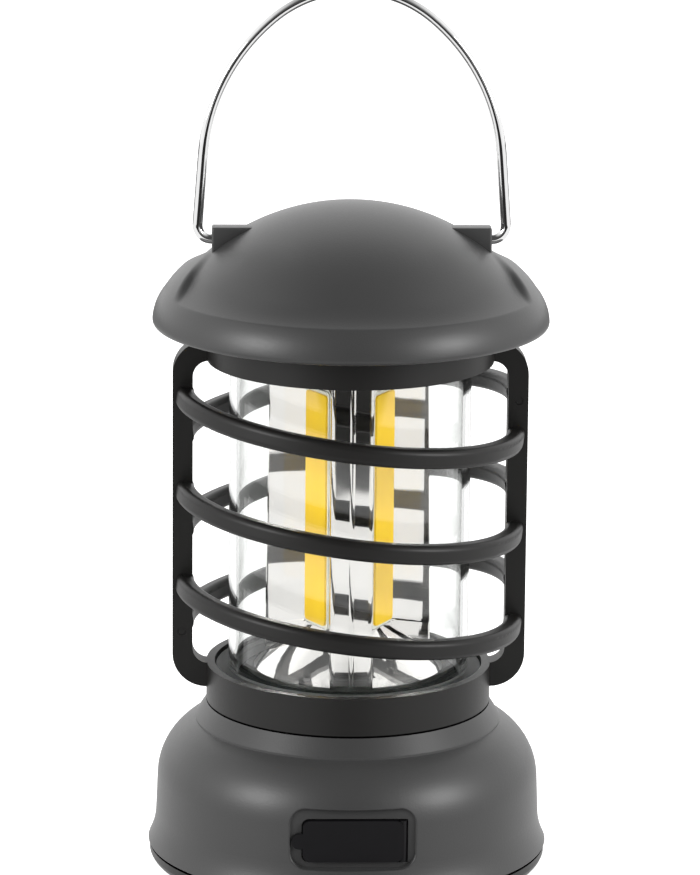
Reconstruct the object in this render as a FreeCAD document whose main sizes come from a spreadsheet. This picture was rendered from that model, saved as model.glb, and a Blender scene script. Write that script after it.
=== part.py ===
"""Camping lantern: a bell base with a rechargeable cell, a clear lens round a three-bay reflector,
a two-half guard cage, a domed roof and a swinging wire bail.

Millimetres, +Z up, the floor at Z = 0, the front at -Y.
"""

import FreeCAD, Part
import math
import os

import Sketcher
from FreeCAD import Placement, Rotation, Vector

SIZES = {
    # Heights, stacked from the floor up
    "foot_drop": 0.8,
    "cover_band": 4.7,
    "shell_rise": 36.3,
    "collar_rise": 10.0,
    "window_rise": 77.3,
    "ring_rise": 10.6,
    "rim_gap": 8.9,
    # Clearances shared by every fit
    "fit_gap": 0.2,
    "slip_gap": 0.3,
    "screw_fit": 0.05,
    # Base shell
    "base_radius": 50.0,
    "base_lip": 0.3,
    "waist_inset": 1.9,
    "waist_rise": 7.5,
    "waist_curve": 18.0,
    "waist_wall": 3.0,
    "belly_inset": 2.3,
    "belly_rise": 17.3,
    "shoulder_curve": 16.4,
    "ridge_inset": 11.8,
    "ridge_rise": 32.1,
    "ridge_step": 0.6,
    "shell_wall": 2.2,
    "shell_top": 2.4,
    "deck_bearing": 9.2,
    # Bottom cover and foot ring
    "cover_floor": 2.4,
    "cover_toe": 3.2,
    "cover_edge": 0.35,
    "cover_edge_rise": 2.4,
    "cover_round": 3.2,
    "seam_step": 0.6,
    "spigot_rise": 3.0,
    "spigot_wall": 2.0,
    "foot_inset": 6.0,
    "foot_width": 6.0,
    "foot_bed": 1.0,
    # Port land, flap and sockets at the front
    "land_width": 30.4,
    "land_height": 15.0,
    "land_corner": 4.0,
    "land_round": 0.4,
    "land_side_depth": 0.71,
    "land_height_mid": 19.3,
    "port_wall": 3.0,
    "flap_width": 24.5,
    "flap_height": 10.4,
    "flap_corner": 1.8,
    "flap_thick": 2.3,
    "flap_proud": 1.0,
    "flap_height_mid": 18.6,
    "tab_length": 2.7,
    "tab_height": 3.9,
    "tab_thick": 0.7,
    "tab_round": 1.77,
    "hinge_bead": 0.9,
    "usb_a_width": 13.1,
    "usb_a_height": 5.7,
    "usb_a_length": 14.0,
    "usb_a_offset": 4.7,
    "usb_a_tongue": 11.5,
    "usb_c_width": 8.9,
    "usb_c_height": 3.2,
    "usb_c_length": 7.4,
    "usb_c_offset": 6.9,
    "usb_c_tongue": 6.5,
    "usb_c_tongue_thick": 0.8,
    "socket_shell": 0.4,
    # Boards and cell
    "board_thick": 1.6,
    "main_board_width": 32.0,
    "main_board_depth": 24.0,
    "post_radius": 3.0,
    "post_inset": 3.4,
    "cell_radius": 9.2,
    "cell_length": 65.2,
    "cell_offset": 7.0,
    "cell_lift": 1.2,
    "saddle_spread": 22.0,
    "saddle_thick": 3.0,
    "saddle_width": 27.2,
    "saddle_rise": 8.0,
    # Push button at the back
    "button_radius": 6.0,
    "button_flange": 6.9,
    "button_flange_thick": 1.0,
    "button_land_radius": 8.5,
    "button_land_depth": 1.2,
    "button_height": 18.2,
    "button_proud": 1.1,
    "button_travel": 0.6,
    "button_round": 0.66,
    "button_wall": 3.0,
    "button_boss": 1.0,
    "switch_board_width": 24.0,
    "switch_board_height": 15.0,
    "switch_size": 6.0,
    "switch_depth": 3.5,
    "plunger_radius": 1.6,
    "plunger_length": 0.8,
    # Light deck, lens and ceiling
    "deck_rise": 6.4,
    "plinth_gap": 3.0,
    "plinth_rise": 2.5,
    "lens_gap": 0.4,
    "lens_wall": 2.0,
    "lens_flange_width": 3.0,
    "lens_flange_thick": 1.9,
    "seal_thick": 0.8,
    "lens_overlap": 2.8,
    "ceiling_rise": 5.8,
    "wire_hole": 4.0,
    # Reflector and light strips
    "petal_gap": 4.4,
    "column_inset": 1.7,
    "column_flat": 4.0,
    "column_roll": 1.2,
    "column_crown": 0.3,
    "bead_half": 0.65,
    "bead_round": 0.75,
    "core_draft": 1.0,
    "bay_back": 9.4,
    "bay_back_half": 5.5,
    "bay_back_corner": 1.0,
    "bay_reach": 2.4,
    "bay_flare": 1.84,
    "bay_mouth_corner": 5.0,
    "bay_floor_rise": 11.3,
    "bay_ceiling_drop": 9.7,
    "bay_mouth_lip": 0.6,
    "strip_width": 9.4,
    "strip_thick": 0.6,
    "strip_margin": 0.8,
    "led_board_thick": 1.2,
    # Guard cage
    "collar_radius": 35.5,
    "collar_wall": 2.1,
    "rib_depth": 1.6,
    "rib_thick": 1.6,
    "rib_height": 1.0,
    "frame_reach": 8.5,
    "frame_width": 5.0,
    "frame_thick": 3.0,
    "arm_thick": 6.1,
    "top_arm_thick": 5.1,
    "frame_corner": 8.6,
    "frame_inner_corner": 4.0,
    "bar_inset": 2.7,
    "bar_depth": 4.4,
    "bar_height": 4.9,
    "bar_corner": 1.5,
    "bar_tilt": 7.07,
    "bar_pitch": 23.9,
    "first_bar": 15.3,
    "dowel_radius": 1.0,
    "dowel_inset": 2.3,
    "low_dowel": 8.2,
    "high_dowel": 67.3,
    # Roof
    "roof_radius": 49.0,
    "rim_rise": 1.4,
    "rim_edge": 1.2,
    "crease_radius": 45.4,
    "crease_rise": 9.5,
    "crease_curve": 13.5,
    "flare_radius": 40.0,
    "flare_curve": 13.2,
    "dome_curve": 55.0,
    "dome_rise": 30.2,
    "roof_wall": 2.2,
    "hollow_curve": 43.0,
    "shoulder_peak": 18.9,
    "shoulder_top": 15.6,
    "shoulder_top_radius": 38.9,
    "shoulder_foot_radius": 45.55,
    "shoulder_foot": 9.2,
    "shoulder_round": 21.0,
    "shoulder_apex": 33.5,
    "shoulder_fan": 1.6,
    "ear_reach": 34.4,
    "ear_root": 23.5,
    "ear_top": 24.4,
    "ear_width": 5.0,
    "ear_round": 0.6,
    "roof_boss_inset": 7.7,
    "roof_boss_radius": 3.2,
    # Bail
    "wire_radius": 1.25,
    "pivot_rise": 21.2,
    "pivot_depth": 5.4,
    "ear_clear": 3.5,
    "leg_bend": 3.4,
    "leg_lean": 4.2,
    "leg_length": 17.5,
    "arch_curve": 48.5,
    "arch_turn": 46.0,
    # Screws
    "screw_radius": 1.3,
    "screw_head_radius": 2.5,
    "screw_head_thick": 1.6,
    "screw_length": 8.0,
}
SCREW_COUNT = 3
COVER_SCREW_COUNT = 4
STRIP_COUNT = 3

doc = FreeCAD.newDocument("camping_lantern")
sheet = doc.addObject("Spreadsheet::Sheet", "sizes")
for row, (name, value) in enumerate(SIZES.items(), start=1):
    sheet.set(f"A{row}", name)
    sheet.set(f"B{row}", str(value))
    sheet.setAlias(f"B{row}", name)
doc.recompute()


class Size:
    """A length or angle kept together with the spreadsheet expression that gives it."""

    def __init__(self, value, text):
        self.value = value
        self.text = text

    def __add__(self, other):
        other = as_size(other)
        return Size(self.value + other.value, f"({self.text} + {other.text})")

    def __sub__(self, other):
        other = as_size(other)
        return Size(self.value - other.value, f"({self.text} - {other.text})")

    def __mul__(self, other):
        other = as_size(other)
        return Size(self.value * other.value, f"({self.text} * {other.text})")

    def __truediv__(self, other):
        other = as_size(other)
        return Size(self.value / other.value, f"({self.text} / {other.text})")

    def __neg__(self):
        return Size(-self.value, f"(-1 * {self.text})")

    __radd__ = __add__

    def __rsub__(self, other):
        return as_size(other) - self

    __rmul__ = __mul__


def as_size(number):
    return number if isinstance(number, Size) else Size(float(number), repr(float(number)))


def root(size):
    return Size(math.sqrt(size.value), f"sqrt({size.text})")


def sine(size):
    return Size(math.sin(math.radians(size.value)), f"sin({size.text} * 1 deg)")


def cosine(size):
    return Size(math.cos(math.radians(size.value)), f"cos({size.text} * 1 deg)")


class Sizes:
    """Each spreadsheet alias as an attribute."""

    def __init__(self):
        for alias in SIZES:
            setattr(self, alias, Size(float(sheet.get(alias)), f"sizes.{alias}"))


s = Sizes()
nodes = []

# Heights and radii that several pieces share
shell_z = s.foot_drop + s.cover_band
collar_z = shell_z + s.shell_rise
window_z = collar_z + s.collar_rise
ring_z = window_z + s.window_rise
rim_z = ring_z + s.rim_gap
waist_radius = s.base_radius - s.waist_inset
belly_radius = s.base_radius - s.belly_inset
foot_radius = s.base_radius - s.foot_inset
collar_bore = s.collar_radius - s.collar_wall
spigot_radius = collar_bore - s.fit_gap
shell_mouth = spigot_radius - s.deck_bearing
lens_flange = collar_bore - s.lens_gap
lens_radius = lens_flange - s.lens_flange_width
lens_bore = lens_radius - s.lens_wall
petal_radius = lens_bore - s.petal_gap
column_radius = petal_radius - s.column_inset
frame_half = s.collar_radius + s.frame_reach
roof_boss_circle = spigot_radius - s.roof_boss_inset
deck_z = collar_z + s.deck_rise
lens_z = deck_z + s.seal_thick
lens_top_z = ring_z + s.lens_overlap
ceiling_z = lens_top_z + s.seal_thick
ceiling_top_z = ceiling_z + s.ceiling_rise
plinth_z = deck_z + s.plinth_rise
reflector_top_z = ceiling_z - s.slip_gap
bay_low_z = plinth_z + s.bay_floor_rise
bay_high_z = reflector_top_z - s.bay_ceiling_drop
rib_z = collar_z + s.rib_height
top_rib_z = ceiling_z + s.rib_height
floor_z = s.foot_drop + s.cover_floor
shell_bore = waist_radius - s.waist_wall
pilot = s.screw_radius + s.screw_fit
pivot_z = rim_z + s.pivot_rise


def bind(thing, **sizes):
    for prop, size in sizes.items():
        thing.setExpression(prop, as_size(size).text)


def place(thing, x=0, y=0, z=0, rotation=Rotation()):
    thing.Placement = Placement(Vector(as_size(x).value, as_size(y).value, as_size(z).value), rotation)
    for axis, size in (("x", x), ("y", y), ("z", z)):
        thing.setExpression(f"Placement.Base.{axis}", as_size(size).text)
    return thing


def node(label, thing):
    thing.Label = label
    nodes.append(thing)
    return thing


# Sketches

def body(label):
    return doc.addObject("PartDesign::Body", label + "_body")


def sketch_on(owner, plane, name, lift=0, rise=0, turn=0):
    """A sketch on an origin plane of its body, lifted off it, moved up it and turned in it."""
    drawing = owner.newObject("Sketcher::SketchObject", name)
    origin = [part for part in owner.Origin.OriginFeatures if part.Role == plane]
    drawing.AttachmentSupport = [(origin[0], "")]
    drawing.MapMode = "FlatFace"
    turned = Rotation(Vector(0, 0, 1), as_size(turn).value)
    drawing.AttachmentOffset = Placement(Vector(0, as_size(rise).value, as_size(lift).value), turned)
    drawing.setExpression("AttachmentOffset.Base.z", as_size(lift).text)
    drawing.setExpression("AttachmentOffset.Base.y", as_size(rise).text)
    if as_size(turn).value:
        drawing.setExpression("AttachmentOffset.Rotation.Angle", as_size(turn).text)
    return drawing


def pin_point(drawing, geometry, end, x, y):
    for kind, size in (("DistanceX", x), ("DistanceY", y)):
        index = drawing.addConstraint(Sketcher.Constraint(kind, -1, 1, geometry, end, size.value))
        drawing.setExpression(f"Constraints[{index}]", size.text)


def arc_between(start, end, radius):
    """The short arc from start to end: it turns left where the radius is positive, right where negative."""
    chord = end - start
    middle = (start + end) * 0.5
    across = Vector(-chord.y, chord.x, 0).normalize()
    inset = math.sqrt(radius * radius - chord.Length * chord.Length / 4)
    centre = middle + across * (inset if radius > 0 else -inset)
    first, last = (start, end) if radius > 0 else (end, start)
    angles = [math.atan2(point.y - centre.y, point.x - centre.x) for point in (first, last)]
    return Part.ArcOfCircle(Part.Circle(centre, Vector(0, 0, 1), abs(radius)), angles[0], angles[1])


def outline(drawing, *corners):
    """A closed loop through corners; a third value makes the stretch ending there an arc of that radius."""
    corners = [tuple(as_size(number) for number in corner) for corner in corners]
    first = drawing.GeometryCount
    ends = []
    for before, corner in zip(corners[-1:] + corners[:-1], corners):
        start = Vector(before[0].value, before[1].value, 0)
        end = Vector(corner[0].value, corner[1].value, 0)
        if len(corner) == 2:
            drawing.addGeometry(Part.LineSegment(start, end))
            ends.append((1, 2))
        else:
            index = drawing.addGeometry(arc_between(start, end, corner[2].value))
            ends.append((1, 2) if corner[2].value > 0 else (2, 1))
            rule = drawing.addConstraint(Sketcher.Constraint("Radius", index, abs(corner[2].value)))
            sign = "" if corner[2].value > 0 else "-1 * "
            drawing.setExpression(f"Constraints[{rule}]", f"{sign}{corner[2].text}")
    for step, corner in enumerate(corners):
        after = (step + 1) % len(corners)
        drawing.addConstraint(
            Sketcher.Constraint("Coincident", first + step, ends[step][1], first + after, ends[after][0]))
        pin_point(drawing, first + step, ends[step][1], corner[0], corner[1])
    return drawing


def open_path(drawing, *points):
    """Like an outline, but left open at its ends."""
    points = [tuple(as_size(number) for number in point) for point in points]
    ends = []
    for before, point in zip(points, points[1:]):
        start = Vector(before[0].value, before[1].value, 0)
        end = Vector(point[0].value, point[1].value, 0)
        if len(point) == 2:
            drawing.addGeometry(Part.LineSegment(start, end))
        else:
            index = drawing.addGeometry(arc_between(start, end, point[2].value))
            rule = drawing.addConstraint(Sketcher.Constraint("Radius", index, point[2].value))
            drawing.setExpression(f"Constraints[{rule}]", point[2].text)
    pin_point(drawing, 0, 1, *points[0][:2])
    for step, point in enumerate(points[1:]):
        pin_point(drawing, step, 2, point[0], point[1])
        if step:
            drawing.addConstraint(Sketcher.Constraint("Coincident", step - 1, 2, step, 1))


def rounded_box(drawing, x, y, width, height, corner):
    """A rectangle with rounded corners about the point x, y."""
    left, right = x - width / 2, x + width / 2
    low, high = y - height / 2, y + height / 2
    return outline(
        drawing,
        (right - corner, low), (right, low + corner, corner),
        (right, high - corner), (right - corner, high, corner),
        (left + corner, high), (left, high - corner, corner),
        (left, low + corner), (left + corner, low, corner))


def circle(drawing, x, y, radius):
    x, y, radius = as_size(x), as_size(y), as_size(radius)
    index = drawing.addGeometry(Part.Circle(Vector(x.value, y.value, 0), Vector(0, 0, 1), radius.value))
    pin_point(drawing, index, 3, x, y)
    rule = drawing.addConstraint(Sketcher.Constraint("Radius", index, radius.value))
    drawing.setExpression(f"Constraints[{rule}]", radius.text)
    return drawing


# Features

def feature(owner, kind, drawing, **settings):
    made = owner.newObject("PartDesign::" + kind, f"{drawing.Name}_{kind.lower()}")
    made.Profile = drawing
    for prop, setting in settings.items():
        if isinstance(setting, Size):
            made.setExpression(prop, setting.text)
        else:
            setattr(made, prop, setting)
    drawing.Visibility = False
    return made


def turned(owner, name, *corners, kind="Revolution"):
    """A profile in the X-Z plane turned about the upright axis."""
    drawing = outline(sketch_on(owner, "XZ_Plane", name), *corners)
    return feature(owner, kind, drawing, ReferenceAxis=(drawing, ["V_Axis"]), Angle=360.0)


def round_edges(owner, base, radius, wanted, name):
    """Fillet the edges of a feature that the test picks."""
    doc.recompute()
    picked = [f"Edge{number}" for number, edge in enumerate(base.Shape.Edges, start=1) if wanted(edge)]
    fillet = owner.newObject("PartDesign::Fillet", name)
    fillet.Base = (base, picked)
    bind(fillet, Radius=radius)
    return fillet


# Part primitives

def block(width, depth, height, x, y, z):
    """A box whose middle in plan is at x, y and whose underside is at z."""
    made = doc.addObject("Part::Box", "block")
    bind(made, Length=width, Width=depth, Height=height)
    return place(made, as_size(x) - as_size(width) / 2, as_size(y) - as_size(depth) / 2, z)


UPRIGHT = Rotation()
BACKWARD = Rotation(Vector(1, 0, 0), -90)
SIDEWAYS = Rotation(Vector(0, 1, 0), 90)


def rod(radius, length, x, y, z, rotation=UPRIGHT):
    """A round bar that starts at x, y, z and runs up, backward (+Y) or sideways (+X)."""
    made = doc.addObject("Part::Cylinder", "rod")
    bind(made, Radius=radius, Height=length)
    return place(made, x, y, z, rotation)


def fused(*shapes):
    made = doc.addObject("Part::MultiFuse", "fused")
    made.Shapes = list(shapes)
    return made


def cut(base, *tools):
    made = doc.addObject("Part::Cut", "cut")
    made.Base = base
    made.Tool = tools[0] if len(tools) == 1 else fused(*tools)
    return made


def shared(first, second):
    made = doc.addObject("Part::Common", "shared")
    made.Base = first
    made.Tool = second
    return made


def group(*shapes):
    made = doc.addObject("Part::Compound", "group")
    made.Links = list(shapes)
    return made


def around(count, radius, start=0):
    """Points spaced evenly on a circle, as sizes."""
    for step in range(count):
        angle = math.radians(start + 360 * step / count)
        yield as_size(radius) * math.cos(angle), as_size(radius) * math.sin(angle)


def screw(x, y, z, rotation=UPRIGHT):
    """A pan-head screw: the head's bearing face is at x, y, z and the shank runs along the rotation."""
    shank = rod(s.screw_radius, s.screw_length, x, y, z, rotation)
    along = rotation.multVec(Vector(0, 0, 1))
    back = [as_size(spot) - s.screw_head_thick * step for spot, step in zip((x, y, z), along)]
    head = rod(s.screw_head_radius, s.screw_head_thick, *back, rotation)
    return fused(shank, head)


def screw_hole(x, y, z, length, rotation=UPRIGHT):
    return rod(pilot, length, x, y, z, rotation)


def screw_seat(x, y, z, rotation=UPRIGHT):
    """The counterbore that takes a screw's head, from its bearing face outward."""
    along = rotation.multVec(Vector(0, 0, 1))
    deep = s.screw_head_thick + s.slip_gap
    start = [as_size(spot) - deep * step for spot, step in zip((x, y, z), along)]
    return rod(s.screw_head_radius + s.slip_gap, deep, *start, rotation)


# Base

half_land = s.land_width / 2
land_y = s.land_side_depth - root(belly_radius * belly_radius - half_land * half_land)
land_depth = belly_radius + land_y
port_inner_y = land_y + s.port_wall
flap_back_y = land_y + s.flap_thick - s.flap_proud
board_z = s.flap_height_mid - s.usb_a_height / 2
post_z = board_z - s.board_thick
cell_z = floor_z + s.cell_radius + s.cell_lift
button_land_y = belly_radius - s.button_land_depth
button_inner_y = button_land_y - s.button_wall
button_back_y = button_inner_y - s.slip_gap - s.button_flange_thick
plunger_y = button_back_y - s.button_travel - s.fit_gap / 2
switch_y = plunger_y - s.plunger_length - s.switch_depth
switch_board_y = switch_y - s.board_thick
cover_screw_circle = shell_bore - s.post_radius - s.slip_gap
deck_screw_circle = (shell_mouth + spigot_radius) / 2
column_half = s.column_flat + s.column_roll
reflector_screw_circle = column_radius - column_half
bed_z = s.foot_drop + s.foot_bed
cover_screw_z = bed_z + s.screw_head_thick + s.slip_gap
main_board_y = port_inner_y + s.slip_gap + s.main_board_depth / 2
hinge_x = s.flap_width / 2
PORT_CLEAR_ANGLE = 90
FIRST_BAY_ANGLE = -30
TOUCH = 0.01
EDGE_SAMPLES = 5


def cover_screw_places():
    return around(COVER_SCREW_COUNT, cover_screw_circle, PORT_CLEAR_ANGLE / 2)


def board_post_places():
    for side in (-1, 1):
        for end in (-1, 1):
            yield (side * (s.main_board_width / 2 - s.post_inset),
                   main_board_y + end * (s.main_board_depth / 2 - s.post_inset))


def rear_board_post_places():
    return [spot for spot in board_post_places() if spot[1].value > main_board_y.value]


def switch_screw_places():
    for side in (-1, 1):
        yield side * (s.switch_board_width / 2 - s.post_inset)


def base_shell():
    """The grey bell, with a flat land for the ports at the front and one for the button at the back."""
    ridge_radius = s.base_radius - s.ridge_inset
    ridge_z = shell_z + s.ridge_rise
    outer = body("shell_outer")
    turned(
        outer, "shell_profile",
        (0, shell_z), (s.base_radius - s.base_lip, shell_z),
        (s.base_radius, shell_z + s.base_lip, s.base_lip),
        (waist_radius, shell_z + s.waist_rise, -s.waist_curve),
        (belly_radius, shell_z + s.belly_rise),
        (ridge_radius, ridge_z - s.ridge_step, s.shoulder_curve), (ridge_radius, ridge_z),
        (s.collar_radius, collar_z), (0, collar_z))
    inner = body("shell_inner")
    inner_shoulder = ridge_radius - s.shell_wall - s.shell_top
    roof_z = collar_z - s.shell_top
    turned(
        inner, "cavity_profile",
        (0, shell_z - s.slip_gap), (shell_bore, shell_z - s.slip_gap), (shell_bore, shell_z + s.belly_rise),
        (inner_shoulder, ridge_z - s.ridge_step - s.shell_wall, s.shoulder_curve),
        (inner_shoulder - s.shell_top, roof_z), (0, roof_z))
    port_block = block(
        s.land_width + 2 * s.shell_wall, belly_radius + port_inner_y, s.land_height + 2 * s.shell_wall,
        0, (port_inner_y - belly_radius) / 2, s.land_height_mid - s.land_height / 2 - s.shell_wall)
    button_block = rod(
        s.button_land_radius + s.button_boss, belly_radius - button_inner_y,
        0, button_inner_y, s.button_height, BACKWARD)
    post_foot_z = shell_z + s.spigot_rise + s.fit_gap
    posts = [rod(s.post_radius, s.shell_rise, x, y, post_foot_z) for x, y in cover_screw_places()]
    shell = cut(outer, cut(inner, port_block, button_block, *posts))

    land = body("port_cuts")
    feature(
        land, "Pad",
        rounded_box(sketch_on(land, "XZ_Plane", "land_outline", lift=-land_y), 0, s.land_height_mid,
                    s.land_width, s.land_height, s.land_corner),
        Length=land_depth * 2)
    seat = sketch_on(land, "XZ_Plane", "flap_seat", lift=-(flap_back_y + s.slip_gap))
    rounded_box(seat, 0, s.flap_height_mid, s.flap_width + 2 * s.slip_gap, s.flap_height + 2 * s.slip_gap,
                s.flap_corner)
    feature(land, "Pad", seat, Length=land_depth)
    windows = [
        block(s.usb_a_width - 2 * s.socket_shell, s.port_wall * 2, s.usb_a_height - 2 * s.socket_shell,
              -s.usb_a_offset, port_inner_y, s.flap_height_mid - s.usb_a_height / 2 + s.socket_shell),
        block(s.usb_c_width - 2 * s.socket_shell, s.port_wall * 2, s.usb_c_height - 2 * s.socket_shell,
              s.usb_c_offset, port_inner_y, board_z + s.socket_shell)]
    bead_groove = rod(s.hinge_bead + s.slip_gap, s.flap_height + 2 * s.slip_gap, hinge_x, land_y,
                      s.flap_height_mid - s.flap_height / 2 - s.slip_gap)
    button_cuts = [
        rod(s.button_land_radius, belly_radius, 0, button_land_y, s.button_height, BACKWARD),
        rod(s.button_radius + s.slip_gap, belly_radius, 0, button_inner_y - s.slip_gap, s.button_height,
            BACKWARD)]
    screw_cuts = [screw_hole(x, y, shell_z, s.screw_length) for x, y in cover_screw_places()]
    deck_cuts = [screw_hole(x, y, collar_z - 2 * s.shell_top, 3 * s.shell_top)
                 for x, y in around(SCREW_COUNT, deck_screw_circle, PORT_CLEAR_ANGLE)]
    mouth = rod(shell_mouth, s.shell_rise, 0, 0, shell_z + s.belly_rise)
    bare = cut(shell, land, *windows, bead_groove, *button_cuts, *screw_cuts, *deck_cuts, mouth)
    node("base_shell", rounded_lip(bare))


def rounded_lip(bare):
    """Round the edge where the port land breaks the bell's outer face."""
    doc.recompute()
    half_width = half_land.value + TOUCH
    half_height = s.land_height.value / 2 + TOUCH
    middle = s.land_height_mid.value

    def on_lip(edge):
        points = edge.discretize(EDGE_SAMPLES)
        in_front = all(point.y < land_y.value - TOUCH for point in points)
        in_width = all(abs(point.x) < half_width for point in points)
        return in_front and in_width and all(abs(point.z - middle) < half_height for point in points)

    lip = doc.addObject("Part::Fillet", "land_lip")
    lip.Base = bare
    radius = s.land_round.value
    picked = [number for number, edge in enumerate(bare.Shape.Edges, start=1) if on_lip(edge)]
    lip.Edges = [(number, radius, radius) for number in picked]
    return lip


def bottom_cover():
    """The black floor of the base: a disc with a spigot, the cell's saddles and the boards' posts."""
    disc = body("cover_disc")
    spigot = shell_bore - s.fit_gap
    foot_inner = foot_radius - s.foot_width
    root_z = floor_z - s.slip_gap
    turned(
        disc, "cover_profile",
        (0, s.foot_drop), (foot_inner - s.fit_gap, s.foot_drop), (foot_inner - s.fit_gap, bed_z),
        (foot_radius + s.fit_gap, bed_z), (foot_radius + s.fit_gap, s.foot_drop),
        (s.base_radius - s.cover_toe, s.foot_drop),
        (s.base_radius - s.cover_edge, s.foot_drop + s.cover_edge_rise, s.cover_round),
        (s.base_radius - s.slip_gap, shell_z - s.slip_gap), (spigot + s.seam_step, shell_z - s.slip_gap),
        (spigot + s.seam_step, shell_z), (spigot, shell_z), (spigot, shell_z + s.spigot_rise),
        (spigot - s.spigot_wall, shell_z + s.spigot_rise), (spigot - s.spigot_wall, floor_z), (0, floor_z))
    saddles = []
    for side in (-1, 1):
        saddles.append(block(s.saddle_thick, s.saddle_width, s.saddle_rise,
                             side * s.saddle_spread, s.cell_offset, root_z))
    posts = [rod(s.post_radius, post_z - root_z, x, y, root_z) for x, y in board_post_places()]
    tower_rise = shell_z + s.spigot_rise - root_z
    towers = [rod(s.post_radius, tower_rise, x, y, root_z) for x, y in cover_screw_places()]
    bracket_rise = s.button_height + s.switch_board_height / 2 - root_z
    bracket = block(s.switch_board_width, s.saddle_thick, bracket_rise,
                    0, switch_board_y - s.saddle_thick / 2, root_z)
    cell_space = s.cell_radius + s.fit_gap / 2
    cuts = [rod(cell_space, 2 * s.cell_length, -s.cell_length, s.cell_offset, cell_z, SIDEWAYS)]
    for x, y in cover_screw_places():
        cuts.append(screw_hole(x, y, 0, s.button_height))
        cuts.append(screw_seat(x, y, cover_screw_z))
    for x, y in rear_board_post_places():
        cuts.append(screw_hole(x, y, post_z - s.screw_length, s.screw_length * 2))
    for x in switch_screw_places():
        hole_y = switch_board_y - 2 * s.saddle_thick
        cuts.append(screw_hole(x, hole_y, s.button_height, s.screw_length, BACKWARD))
    node("bottom_cover", cut(fused(disc, *saddles, *posts, *towers, bracket), *cuts))


def foot_ring():
    """The rubber ring that the lantern stands on."""
    ring = body("foot_ring")
    inner = foot_radius - s.foot_width
    turned(ring, "foot_profile", (inner, 0), (foot_radius, 0), (foot_radius, bed_z), (inner, bed_z))
    node("foot_ring", ring)


def cell_and_boards():
    """The cell in its saddles, the two circuit boards, the switch and the screws that hold them."""
    cell = rod(s.cell_radius, s.cell_length, -s.cell_length / 2, s.cell_offset, cell_z, SIDEWAYS)
    node("battery_cell", cell)
    board = block(s.main_board_width, s.main_board_depth, s.board_thick, 0, main_board_y, post_z)
    hole_length = s.board_thick + 2 * s.slip_gap
    holes = [screw_hole(x, y, post_z - s.slip_gap, hole_length) for x, y in rear_board_post_places()]
    node("main_board", cut(board, *holes))
    upside_down = Rotation(Vector(1, 0, 0), 180)
    node("board_screws", group(*[screw(x, y, board_z, upside_down) for x, y in rear_board_post_places()]))
    back_board = block(s.switch_board_width, s.board_thick, s.switch_board_height,
                       0, switch_board_y + s.board_thick / 2, s.button_height - s.switch_board_height / 2)
    holes = [screw_hole(x, switch_board_y - s.slip_gap, s.button_height, hole_length, BACKWARD)
             for x in switch_screw_places()]
    node("switch_board", cut(back_board, *holes))
    forward = Rotation(Vector(1, 0, 0), 90)
    switch_screws = [screw(x, switch_y, s.button_height, forward) for x in switch_screw_places()]
    node("switch_screws", group(*switch_screws))
    case = block(s.switch_size, s.switch_depth, s.switch_size, 0, switch_y + s.switch_depth / 2,
                 s.button_height - s.switch_size / 2)
    root_y = switch_y + s.switch_depth - s.slip_gap
    plunger = rod(s.plunger_radius, s.plunger_length + s.slip_gap, 0, root_y, s.button_height, BACKWARD)
    node("tact_switch", fused(case, plunger))
    node("cover_screws", group(*[screw(x, y, cover_screw_z) for x, y in cover_screw_places()]))


def sockets():
    """Two metal-shelled sockets on the main board, open to the front."""
    a_y = port_inner_y + s.usb_a_length / 2
    shell = cut(
        block(s.usb_a_width, s.usb_a_length, s.usb_a_height, -s.usb_a_offset, a_y, board_z),
        block(s.usb_a_width - 2 * s.socket_shell, s.usb_a_length, s.usb_a_height - 2 * s.socket_shell,
              -s.usb_a_offset, a_y - s.socket_shell, board_z + s.socket_shell))
    tongue = block(s.usb_a_tongue, s.usb_a_length - 2 * s.board_thick, s.board_thick,
                   -s.usb_a_offset, a_y + s.board_thick - s.socket_shell / 2, board_z + s.usb_a_height / 2)
    node("usb_a_socket", fused(shell, tongue))

    c_socket = body("usb_c")
    height = board_z + s.usb_c_height / 2
    corner = s.usb_c_height / 2 - s.socket_shell / 2
    back_y = port_inner_y + s.usb_c_length
    case = sketch_on(c_socket, "XZ_Plane", "usb_c_shell", lift=-back_y)
    rounded_box(case, s.usb_c_offset, height, s.usb_c_width, s.usb_c_height, corner)
    feature(c_socket, "Pad", case, Length=s.usb_c_length)
    mouth = sketch_on(c_socket, "XZ_Plane", "usb_c_mouth", lift=-port_inner_y)
    rounded_box(mouth, s.usb_c_offset, height, s.usb_c_width - 2 * s.socket_shell,
                s.usb_c_height - 2 * s.socket_shell, corner - s.socket_shell)
    feature(c_socket, "Pocket", mouth, Length=s.usb_c_length - s.socket_shell)
    tongue = sketch_on(c_socket, "XZ_Plane", "usb_c_tongue", lift=-back_y)
    rounded_box(tongue, s.usb_c_offset, height, s.usb_c_tongue, s.usb_c_tongue_thick, s.socket_shell / 2)
    feature(c_socket, "Pad", tongue, Length=s.usb_c_length - 2 * s.socket_shell)
    node("usb_c_socket", c_socket)


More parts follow.
